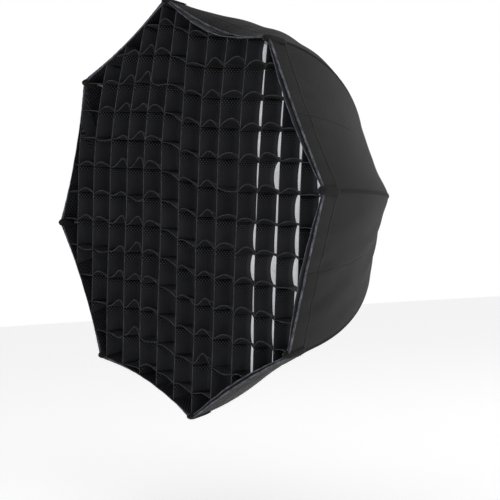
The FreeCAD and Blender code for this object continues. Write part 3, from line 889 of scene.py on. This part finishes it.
def build_pockets():
    """Doubled cloth pocket, rounded over each rib's end."""
    shell = Shell()
    ridge = shell.ridge
    for rib in range(1, RIBS + 1):
        radial, aside = rib_axes(rib)
        sections, lengths = [], []
        for t in np.linspace(0, 1, 22):
            s = -POCKET_BACK + (POCKET_BACK + POCKET_NOSE) * t
            v = 1 + min(s, 0) / shell.length
            out, y = ridge.at(v, -CLOTH_REACH)
            out0, y0 = ridge.at(min(v, 0.99) - 0.01, -CLOTH_REACH)
            out1, y1 = ridge.at(min(v, 0.99) + 0.01, -CLOTH_REACH)
            forward = np.array([out1 - out0, y1 - y0])
            forward /= np.hypot(*forward)
            up = np.array([-forward[1], forward[0]])
            if up[0] < 0:
                up = -up
            centre = np.array([out, y]) + forward * max(s, 0)
            close = math.sqrt(max(0.0, 1 - max(0.0, (s + 0.006) / (POCKET_NOSE + 0.0062)) ** 2))
            ease = min(1.0, t / 0.12) ** 0.5
            wide = (0.0088 - 0.0022 * t) * close * (0.75 + 0.25 * ease)
            top = (0.0057 + 0.0004 * ease) * max(close, 0.12)
            share = min(1.0, max(0.0, (s + 0.024) / 0.010))
            low = (0.0026 * (1 - share) - 0.0047 * share) * max(close, 0.12)
            row = []
            for a in np.linspace(0, 2 * math.pi, 17)[:-1]:
                x, z = math.sin(a), math.cos(a)
                side = math.copysign(abs(x) ** 0.8, x) * wide
                roof = top - abs(side) * 0.36
                height = roof if z > 0 else low + abs(side) * 0.1
                height = height * abs(z) ** 0.6 + (top + low) * 0.28 * (1 - abs(z) ** 0.6)
                place = centre + up * height
                row.append(radial * place[0] + np.array([0, place[1], 0]) + aside * side)
            sections.append(row)
            lengths.append(s)
        sections = np.array(sections)
        around = np.linspace(0, 0.05, 16)
        uv = np.stack(np.meshgrid(around, np.array(lengths) + rib), -1)
        heap = Heap()
        heap.add(*swept(sections, uv))
        for side in (-1, 1):
            for s in np.arange(-0.028, -0.004, 0.0036):
                v = 1 + s / shell.length
                out, y = ridge.at(v, 0.0)
                spot = 0.0070 - 0.0018 * (1 + s / POCKET_BACK)
                height = 0.0009 - spot * 0.36
                c = radial * (out + height) + np.array([0, y, 0]) + aside * side * spot
                along = radial * 0.2 + np.array([0, -0.98, 0])
                heap.add(*stitch(c, along, aside, radial, slot=1))
        piece = heap.piece(f"tip_pocket_{rib}", ["seam_cloth", "thread"])
        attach(piece, f"rib_{rib}")


def build_collar():
    """Elasticated sleeve from the back plate to the shell, one piece for each rib."""
    shell = Shell()
    for rib in range(1, RIBS + 1):
        w = np.linspace(-1, 1, 33)
        share = np.linspace(0, 1, 26)
        outer = np.zeros((len(share), len(w), 3))
        inner = np.zeros_like(outer)
        turn = azimuth(rib)
        for j, across in enumerate(w):
            theta = turn + across * HALF
            gore = rib if across >= 0 else (rib - 2) % RIBS + 1
            tangent = math.tan(theta - azimuth(gore) - HALF) / math.tan(HALF)
            land = shell.points(gore, np.array(tangent), np.array(COLLAR_LAP / shell.length),
                                0.0012)
            edge = shell.points(gore, np.array(tangent), np.array(0.0), 0.0016)
            path = [np.array([PLATE_RADIUS - 0.004, PLATE_FRONT_Y + 0.0042]),
                    np.array([PLATE_RADIUS + 0.0011, PLATE_FRONT_Y + 0.0036]),
                    np.array([PLATE_RADIUS + 0.0013, PLATE_FRONT_Y - 0.002]),
                    np.array([math.hypot(edge[0], edge[2]) + 0.0008, edge[1] + 0.0015]),
                    np.array([math.hypot(land[0], land[2]), land[1]])]
            lengths = np.cumsum([0] + [np.hypot(*(b - a)) for a, b in zip(path, path[1:])])
            lengths /= lengths[-1]
            for i, t in enumerate(share):
                out = np.interp(t, lengths, [p[0] for p in path])
                y = np.interp(t, lengths, [p[1] for p in path])
                crimp = 0.0007 * math.sin(theta * 60 + 2 * math.sin(theta * 7))
                crimp *= math.sin(math.pi * t) ** 0.5
                outer[i, j] = polar(theta, out + crimp, y + crimp * 0.6)
                inner[i, j] = polar(theta, out + crimp - 0.0006, y - 0.0006)
        uv = np.stack(np.meshgrid((w / 2 + rib) * COLLAR_GIRTH, share * 0.04), -1)
        piece = sheet_piece(f"collar_{rib}", outer, inner, uv, ["seam_cloth"] * 3, flip=True)
        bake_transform(piece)
    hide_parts("rear_collar")


# ------------------------------------------------------------------ the front cloths

def octagon_radius(angle, corner):
    """Distance to the side of an octagon with corners over the ribs."""
    offset = abs((angle + HALF) % (2 * HALF) - HALF)
    return corner * math.cos(HALF) / math.cos(HALF - offset)


DISC_INSET = 0.0035        # gap between a front cloth's edge and the shell
BAND_INSET = 0.0042        # the same for the band behind it
BAND_BEHIND = 0.0009       # how far the band stands behind its cloth
TAPE_WIDTH = 0.016
HEM_WIDTH = 0.012


def build_disc(name, corner, y, billow, slot_name, body, wrinkle=0.0006):
    """A white cloth stretched over the octagon, in wedges that ride on a body."""
    pieces = []
    shell = Shell()
    for wedge, middle, angles in wedge_angles(13):
        share = np.linspace(0.0, 1.0, 36) ** 0.9
        share[0] = 0.004
        outer = np.zeros((len(share), len(angles), 3))
        for j, angle in enumerate(angles):
            limit = min(octagon_radius(angle, corner), shell.radius_at(angle, y, DISC_INSET))
            for i, t in enumerate(share):
                ripple = wrinkle * math.sin(17 * angle + 5 * t) * math.sin(23 * t + 3 * angle) * t
                rise = billow * math.cos(math.pi / 2 * t) ** 1.2
                outer[i, j] = polar(angle, limit * t, y + rise + ripple)
        inner = outer.copy()
        inner[..., 1] += 0.0005
        uv = outer[..., [0, 2]]
        piece = sheet_piece(f"{name}_{wedge + 1}", outer, inner, uv, [slot_name] * 3)
        gather(piece, body)
        pieces.append(piece)
    return pieces


def build_rim_band(name, corner, y, depth, slot_name, body):
    """Flat band along the edge of a front cloth, facing the rear."""
    shell = Shell()
    pieces = []
    for wedge, middle, angles in wedge_angles(13):
        share = np.linspace(0, 1, 5)
        outer = np.zeros((len(share), len(angles), 3))
        for j, angle in enumerate(angles):
            limit = min(octagon_radius(angle, corner), shell.radius_at(angle, y, BAND_INSET))
            for i, t in enumerate(share):
                outer[i, j] = polar(angle, limit - depth * t, y + 0.0002 * math.sin(40 * angle))
        inner = outer.copy()
        inner[..., 1] += 0.0014
        uv = outer[..., [0, 2]]
        piece = sheet_piece(f"{name}_{wedge + 1}", outer, inner, uv, [slot_name] * 3, flip=True)
        gather(piece, body)
        pieces.append(piece)
    return pieces


def build_diffuser():
    front = front_settings()
    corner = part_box("outer_diffuser")[1].x
    pieces = build_disc("diffuser", corner, DIFFUSER_Y, front.billow, "white_cloth", "diffuser")
    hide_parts("outer_diffuser")
    bands = build_rim_band("diffuser_tape", corner, DIFFUSER_Y + BAND_BEHIND, TAPE_WIDTH,
                           "hook_tape", "diffuser")
    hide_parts("diffuser_hem")


STRAP_SHORT = 0.0048       # from a strap's end to the rib's centre line
STRAP_LAP = 0.016          # how far a strap lies doubled at either end
STRAP_BEND = 0.0010        # radius of its fold


def build_straps():
    """Elastic strap from each corner of the baffle to its rib, doubled back at the end."""
    shell = Shell()
    width = front_settings().strap_width
    y = BAFFLE_Y + 0.0012
    for rib in range(1, RIBS + 1):
        along, aside = rib_axes(rib)
        end = shell.ridge.out_at(y) - STRAP_SHORT
        path = [(out, y + 0.0006 * math.sin(out * 300)) for out in
                np.linspace(BAFFLE_RADIUS - STRAP_LAP, end, 20)]
        path += [(end + STRAP_BEND * math.sin(a), y - STRAP_BEND + STRAP_BEND * math.cos(a))
                 for a in np.linspace(0.3, math.pi - 0.3, 7)]
        path += [(out, y - 2 * STRAP_BEND) for out in np.linspace(end, end - STRAP_LAP, 6)]
        path = np.array(path)
        step = np.gradient(path, axis=0)
        step /= np.linalg.norm(step, axis=1, keepdims=True)
        normal = np.stack([-step[:, 1], step[:, 0]], -1)
        length = np.cumsum([0] + [math.dist(a, b) for a, b in zip(path, path[1:])])
        sides = np.linspace(-width / 2, width / 2, 7)
        layers = []
        for lift in (0.0004, -0.0004):
            flat = path + normal * lift
            layers.append(np.array([[along * o + np.array([0, v, 0]) + aside * side
                                     for side in sides] for o, v in flat]))
        uv = np.stack(np.meshgrid(sides, length), -1)
        piece = sheet_piece(f"strap_{rib}", layers[0], layers[1], uv, ["elastic"] * 3)
        gather(piece, "baffle")
    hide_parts("baffle_straps")


def build_baffle():
    front = front_settings()
    pieces = build_disc("baffle", BAFFLE_RADIUS, BAFFLE_Y, front.baffle_billow, "white_cloth",
                        "baffle")
    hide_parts("inner_baffle")
    build_rim_band("baffle_hem", BAFFLE_RADIUS, BAFFLE_Y + BAND_BEHIND, HEM_WIDTH, "elastic",
                   "baffle")


class Border:
    """Inner limit of the grid at a depth, as a radius for each direction."""

    STEPS = 480

    def __init__(self, shell, y, inset):
        angles = np.arange(self.STEPS) * 2 * math.pi / self.STEPS
        self.radii = np.array([shell.radius_at(a, y, inset) for a in angles])

    def at(self, angle):
        place = (angle % (2 * math.pi)) / (2 * math.pi) * self.STEPS
        low = int(place) % self.STEPS
        share = place - int(place)
        return self.radii[low] * (1 - share) + self.radii[(low + 1) % self.STEPS] * share

    def reach(self, curve, sign):
        """How far along a curve of world (x, z) points this limit is met, on its + or - side."""
        low, high = 0.0, 0.31
        for _ in range(26):
            middle = (low + high) / 2
            x, z = curve(sign * middle)
            if math.hypot(x, z) < self.at(math.atan2(z, x)):
                low = middle
            else:
                high = middle
        return sign * low


GRID_INSET = 0.0042
BORDER_RADIUS = 0.277
# height, sideways lean and sharpness of the arches in each column, counted from the middle
COLUMN_ARCH = {-6: (0.5, 1.0, 1.0), -5: (0.45, 0.8, 1.0), -4: (0.8, 1.9, 1.1),
               -3: (1.0, 1.9, 1.1), -2: (0.6, 0.8, 1.0), -1: (0.15, 1.0, 1.0),
               0: (0.5, 0.7, 1.0), 1: (0.95, 1.0, 1.9), 2: (0.65, 1.1, 0.8),
               3: (0.7, 1.0, 0.8), 4: (0.6, 0.75, 0.9), 5: (0.4, 1.2, 1.0)}


def build_grid():
    """Egg-crate of soft ribbons: the uprights run straight through, and the level ones rise or
    sag from cell to cell."""
    settings = grid_settings()
    shell = Shell()
    depth = GRID_BACK_Y - FRONT_Y
    front = Border(shell, FRONT_Y + 0.0015, GRID_INSET)
    rear = Border(shell, GRID_BACK_Y, GRID_INSET)
    chance = random.Random(7)
    count = settings.lines
    waves = {line: [(chance.uniform(3, 9), chance.uniform(0, 6.28), chance.uniform(0.3, 1))
                    for _ in range(3)] for line in range(-count, count + 1)}
    leans = {line: settings.wave * (chance.uniform(0.9, 1.5) if line < 3 else
                                    chance.uniform(-0.5, 0.3))
             for line in range(-count, count + 1)}

    cos_turn, sin_turn = math.cos(settings.turn), math.sin(settings.turn)

    def lay(x, z):
        """World x and z of a place on the flat, square grid, as it is drawn askew and turned."""
        top = max(0.0, z - 0.03) / 0.2
        x += settings.lean * (1 + 2.6 * min(1.0, max(0.0, -x / 0.2))) * top ** 2
        z -= settings.drop * math.tanh((x + 0.01) / 0.028)
        return x * cos_turn - z * sin_turn, x * sin_turn + z * cos_turn

    def upright_x(line, z, d):
        drift = sum(a * math.sin(f * z * 4 + p) for f, p, a in waves[line]) / 2
        cell = math.floor(z / settings.pitch + 0.001)
        share = z / settings.pitch - cell
        bow = gapes.get((line, cell), 0.0) * max(0.0, math.sin(math.pi * share)) ** 0.6
        return line * settings.pitch + settings.wave * drift * 0.55 \
            + leans[line] * (d - 0.3) - bow * d ** 1.5

    gapes = {(line, cell): settings.gape * chance.uniform(0.1, 1.0) ** 1.4
             for line in range(3, count + 1) for cell in range(-count - 1, count + 2)}
    step = {i: chance.uniform(-0.0022, 0.0022) for i in range(-count - 1, count + 2)}
    nudge = {(i, j, k): step[i] + chance.uniform(-0.0016, 0.0016)
             for i in range(-count - 1, count + 2) for j in range(-count, count + 1)
             for k in range(2)}
    heaps = {wedge: Heap() for wedge in range(WEDGES)}
    totals = dict.fromkeys(range(WEDGES), 0.0)
    rows = np.array([0.0, 0.022, 0.3, 0.65, 1.0])

    def ribbon(points_of, ends, kind):
        """One stretch of ribbon; points_of gives a point for a share along and across."""
        steps = np.linspace(0, 1, 9)
        middle = np.array([[points_of(t, d) for t in steps] for d in rows])
        along = np.gradient(middle, axis=1)
        across = np.gradient(middle, axis=0)
        normal = np.cross(along, across)
        normal /= np.linalg.norm(normal, axis=-1, keepdims=True) + 1e-12
        half = settings.ribbon / 2
        length = np.linalg.norm(np.diff(middle, axis=1), axis=-1).sum(1).mean()
        uv = np.stack(np.meshgrid(ends[0] + steps * length, rows * depth), -1)[..., ::-1]
        points, faces, _, flat_uv = thin_sheet(middle + normal * half, middle - normal * half, uv)
        cells = 2 * (len(rows) - 1) * (len(steps) - 1)
        first = 2 * (len(steps) - 1)
        slots = [2 if n < first or n >= cells else kind[n % 2] for n in range(len(faces))]
        centre = middle.mean(axis=(0, 1))
        wedge = wedge_of(centre[0], centre[2])
        heaps[wedge].add(points, faces, slots, flat_uv)
        totals[wedge] += length

    for line in range(-count, count + 1):
        fixed = line * settings.pitch
        for upright in (True, False):
            curve = (lambda s, c=fixed: lay(c, s)) if upright else (lambda s, c=fixed: lay(s, c))
            low = [b.reach(curve, -1) for b in (front, rear)]
            high = [b.reach(curve, 1) for b in (front, rear)]
            inner = [n * settings.pitch for n in range(-count, count + 1)
                     if max(low) + 0.004 < n * settings.pitch < min(high) - 0.004]
            stops = [low] + [[n, n] for n in inner] + [high]
            for start, end in zip(stops, stops[1:]):
                if upright:
                    def place(t, d, start=start, end=end, line=line):
                        z = (start[0] * (1 - d) + start[1] * d) * (1 - t) \
                            + (end[0] * (1 - d) + end[1] * d) * t
                        x, up = lay(upright_x(line, z, d), z)
                        return np.array([x, FRONT_Y + 0.0012 + d * (depth - 0.002), up])
                    ribbon(place, (start[0],), (0, 0))
                    continue
                cell = round(start[0] / settings.pitch) if start is not low else -count - 1
                share, lean, sharp = COLUMN_ARCH.get(cell, (0.2, 1.0, 1.0))
                size = settings.arch * share * chance.uniform(0.6, 1.15)
                size *= 1 if chance.random() < 0.93 else -0.5
                if start is low or end is high:
                    size *= 0.4
                back = (size * chance.uniform(-0.35, 0.2)
                        - settings.arch * chance.uniform(0.1, 0.3))
                lean *= chance.uniform(0.85, 1.2)

                def place(t, d, start=start, end=end, line=line, size=size, back=back,
                          lean=lean, sharp=sharp, cell=cell):
                    a = start[0] * (1 - d) + start[1] * d
                    b = end[0] * (1 - d) + end[1] * d
                    if start is not low:
                        a = upright_x(round(a / settings.pitch), fixed, d)
                    if end is not high:
                        b = upright_x(round(b / settings.pitch), fixed, d)
                    x = a * (1 - t) + b * t
                    bow = math.sin(math.pi * t ** lean) ** sharp if 0 < t < 1 else 0.0
                    rise = (size * (1 - d) + back * d) * bow
                    tilt = nudge[cell, line, 0] * (1 - t) + nudge[cell, line, 1] * t
                    x, up = lay(x, fixed + tilt + rise)
                    return np.array([x, FRONT_Y + 0.0018 + d * (depth - 0.003), up])
                # Level ribbons: mesh cloth on top, and painted shade (a darker copy of the cloth)
                # underneath.
                ribbon(place, (start[0],), (1, 3))
    for wedge, heap in heaps.items():
        piece = heap.piece(f"grid_ribbons_{wedge + 1}",
                           ["grid_plain", "grid_cloth", "grid_edge", "grid_painted_shade"], flat_layer=9)
        gather(piece, "grid")
    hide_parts("grid")


def build_border():
    """Band round the grid that lies against the shell's rim, with a worn lighter front edge."""
    shell = Shell()
    settings = grid_settings()
    depth = GRID_BACK_Y - FRONT_Y
    rows = np.array([0.0, 0.03, 0.1, 0.3, 0.6, 1.0])
    for wedge, middle, angles in wedge_angles(17):
        outer = np.zeros((len(rows), len(angles), 3))
        for i, d in enumerate(rows):
            y = FRONT_Y + 0.0004 + d * depth
            for j, angle in enumerate(angles):
                out = shell.radius_at(angle, max(y, FRONT_Y + 0.0015), GRID_INSET - 0.0014)
                outer[i, j] = polar(angle, out + 0.0003 * math.sin(angle * 50 + d * 3), y)
        inner = outer.copy()
        for j, angle in enumerate(angles):
            inner[:, j, 0] -= settings.ribbon * 1.6 * math.cos(angle)
            inner[:, j, 2] -= settings.ribbon * 1.6 * math.sin(angle)
        run = (angles - middle) * BORDER_RADIUS
        uv = np.stack(np.meshgrid(run + wedge * 0.11, rows * depth), -1)
        piece = sheet_piece(f"grid_border_{wedge + 1}", outer, inner, uv,
                            ["grid_plain", "grid_cloth", "binding_tape"])
        gather(piece, "grid")
    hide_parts("grid_border")


# ------------------------------------------------------------------ finishes of the CAD nodes

HARDWARE = {
    "black_metal": ("mount_ring", "bayonet_lugs", "back_plate", "hub_ring"),
    "pin_steel": ("ring_screws", "hub_pins", "runner_pins"),
    "tube_aluminium": ("guide_tube",),
    "spring_steel": ("stop_ring",),
    "runner_plastic": ("runner",),
    "button_plastic": ("release_button_left", "release_button_right"),
    "rib_steel": tuple(f"rib_{rib}" for rib in range(1, RIBS + 1)),
    "cap_plastic": tuple(f"rib_cap_{rib}" for rib in range(1, RIBS + 1)),
    "strut_steel": tuple(f"strut_{rib}" for rib in range(1, RIBS + 1)),
}


def finish_hardware():
    """Gives every CAD node that stays in view its own finish."""
    for slot, names in HARDWARE.items():
        for name in names:
            for place in bpy.data.objects[name].material_slots:
                place.material = finish_of(slot)


# ------------------------------------------------------------------ stage

FLOOR_RINGS = (1.5, 3.0, 6.0, 12.0)
FLOOR_SIDES = 48


def area_light(name, place, target, size, power, colour=(1, 1, 1)):
    data = bpy.data.lights.new(name, "AREA")
    data.shape = "RECTANGLE"
    data.size, data.size_y = size
    data.energy = power
    data.color = colour
    lamp = bpy.data.objects.new(name, data)
    bpy.context.scene.collection.objects.link(lamp)
    lamp.location = place
    aim = Vector(target) - Vector(place)
    lamp.rotation_euler = aim.to_track_quat("-Z", "Y").to_euler()
    return lamp


def build_stage():
    """Pale floor and surroundings, soft lights, and the camera."""
    settings = stage_settings()
    scene = bpy.context.scene
    world = bpy.data.worlds.new("pale_surroundings")
    world.use_nodes = True
    background = world.node_tree.nodes["Background"]
    nodes, links = world.node_tree.nodes, world.node_tree.links
    where = nodes.new("ShaderNodeTexCoord")
    parts = nodes.new("ShaderNodeSeparateXYZ")
    level = nodes.new("ShaderNodeMath")
    level.operation = "ABSOLUTE"
    fade = nodes.new("ShaderNodeMapRange")
    fade.inputs["From Min"].default_value = 0.22
    fade.inputs["From Max"].default_value = 0.75
    fade.inputs["To Min"].default_value = settings.sky
    fade.inputs["To Max"].default_value = settings.sky * settings.zenith
    links.new(where.outputs["Generated"], parts.inputs[0])
    links.new(parts.outputs["Z"], level.inputs[0])
    links.new(level.outputs[0], fade.inputs["Value"])
    links.new(fade.outputs[0], background.inputs["Strength"])
    background.inputs["Color"].default_value = (1, 1, 1, 1)
    scene.world = world

    mesh = bpy.data.meshes.new("floor")
    points, faces = [], []
    for radius in FLOOR_RINGS:
        for k in range(FLOOR_SIDES):
            turn = 2 * math.pi * k / FLOOR_SIDES
            points.append((radius * math.cos(turn), radius * math.sin(turn), settings.floor))
    faces.append(tuple(range(FLOOR_SIDES)))
    for ring in range(len(FLOOR_RINGS) - 1):
        for k in range(FLOOR_SIDES):
            a, b = ring * FLOOR_SIDES + k, ring * FLOOR_SIDES + (k + 1) % FLOOR_SIDES
            faces.append((a, a + FLOOR_SIDES, b + FLOOR_SIDES, b))
    mesh.from_pydata(points, [], faces)
    floor = bpy.data.objects.new("floor", mesh)
    paper = Shader("floor_paper", (0.93, 0.93, 0.93), 0.9, Specular_IOR_Level=0.1,
                   Emission_Color=(1, 1, 1, 1), Emission_Strength=0.4)
    place = paper.coordinates("Object")
    grain = paper.noise(place, 300, 3)
    paper.link("Normal", paper.bump(grain, 0.0002, 0.2))
    mesh.materials.append(paper.material)
    scene.collection.objects.link(floor)

    area_light("key_light", (0.4, -0.3, 2.4), (0, -0.1, 0), (2.4, 2.4), settings.key)
    area_light("side_light", (2.6, -1.2, 1.3), (0, -0.15, 0), (1.6, 2.0), settings.side)
    area_light("rear_light", (1.6, 2.2, 1.2), (0, -0.1, 0), (1.8, 1.8), settings.rear)

    camera = bpy.data.cameras.new("camera")
    camera.lens = settings.lens
    camera.sensor_width = 36
    eye = bpy.data.objects.new("camera", camera)
    scene.collection.objects.link(eye)
    right = Vector(settings.right).normalized()
    up = Vector(settings.up)
    up = (up - right * up.dot(right)).normalized()
    back = right.cross(up)
    turn = eye.matrix_world.copy()
    for row in range(3):
        turn[row][0], turn[row][1], turn[row][2] = right[row], up[row], back[row]
        turn[row][3] = settings.place[row]
    eye.matrix_world = turn
    scene.camera = eye
    scene.view_settings.view_transform = "Standard"


# ------------------------------------------------------------------ operators and panel

def step_operator(build, label, description):
    """Operator that runs one build step and is named after the step's function."""
    step = build.__name__.partition("_")[2]

    def execute(self, context):
        build()
        return {"FINISHED"}

    return type(f"OCTABOX_OT_{step}", (Operator,), {
        "bl_idname": f"octabox.{step}", "bl_label": label, "bl_description": description,
        "execute": execute})


OPERATORS = tuple(step_operator(*step) for step in (
    (build_gores, "Shell gores", "Sixteen half gores of black cloth with a silver lining"),
    (build_seams, "Rib seams", "Welts and stitches along the ribs"),
    (build_rim, "Shell rim", "Binding, hem stitches and hook-and-loop tape round the rim"),
    (build_pockets, "Tip pockets", "Cloth pockets over the ends of the ribs"),
    (build_collar, "Rear collar", "Elasticated sleeve between the back plate and the shell"),
    (build_baffle, "Inner baffle", "White inner baffle with its hem"),
    (build_straps, "Baffle straps", "Elastic straps from the baffle to the ribs"),
    (build_diffuser, "Front diffuser", "White front diffuser with its tape"),
    (build_border, "Grid border", "Band round the egg-crate grid"),
    (build_grid, "Egg-crate grid", "Upright and level ribbons of the grid"),
    (finish_hardware, "Hardware finishes", "Finishes of the mount, hub, runner, ribs and struts"),
    (build_stage, "Stage", "Floor, surroundings, lights and camera"),
))
SETTINGS = {
    "octabox_shell": OctaboxShellSettings,
    "octabox_grid": OctaboxGridSettings,
    "octabox_front": OctaboxFrontSettings,
    "octabox_stage": OctaboxStageSettings,
}


class OCTABOX_PT_panel(Panel):
    """Sizes and colours of the octabox, and the steps that build it"""
    bl_idname = "OCTABOX_PT_panel"
    bl_label = "Octabox"
    bl_space_type = "VIEW_3D"
    bl_region_type = "UI"
    bl_category = "Octabox"

    def draw(self, context):
        for name, group in SETTINGS.items():
            box = self.layout.box()
            settings = getattr(context.scene, name)
            for prop in group.__annotations__:
                box.prop(settings, prop)
        for operator in OPERATORS:
            self.layout.operator(operator.bl_idname)


def register():
    for group in SETTINGS.values():
        bpy.utils.register_class(group)
    for operator in OPERATORS:
        bpy.utils.register_class(operator)
    bpy.utils.register_class(OCTABOX_PT_panel)
    for name, group in SETTINGS.items():
        setattr(bpy.types.Scene, name, PointerProperty(type=group))


def unregister():
    for name in SETTINGS:
        delattr(bpy.types.Scene, name)
    bpy.utils.unregister_class(OCTABOX_PT_panel)
    for operator in reversed(OPERATORS):
        bpy.utils.unregister_class(operator)
    for group in reversed(list(SETTINGS.values())):
        bpy.utils.unregister_class(group)


def plain(bounds):
    return [[float(value) for value in corner] for corner in bounds]


def main():
    register()
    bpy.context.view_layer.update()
    for operator in OPERATORS:
        group, name = operator.bl_idname.split(".")
        getattr(getattr(bpy.ops, group), name)()


if __name__ == "__main__":
    main()
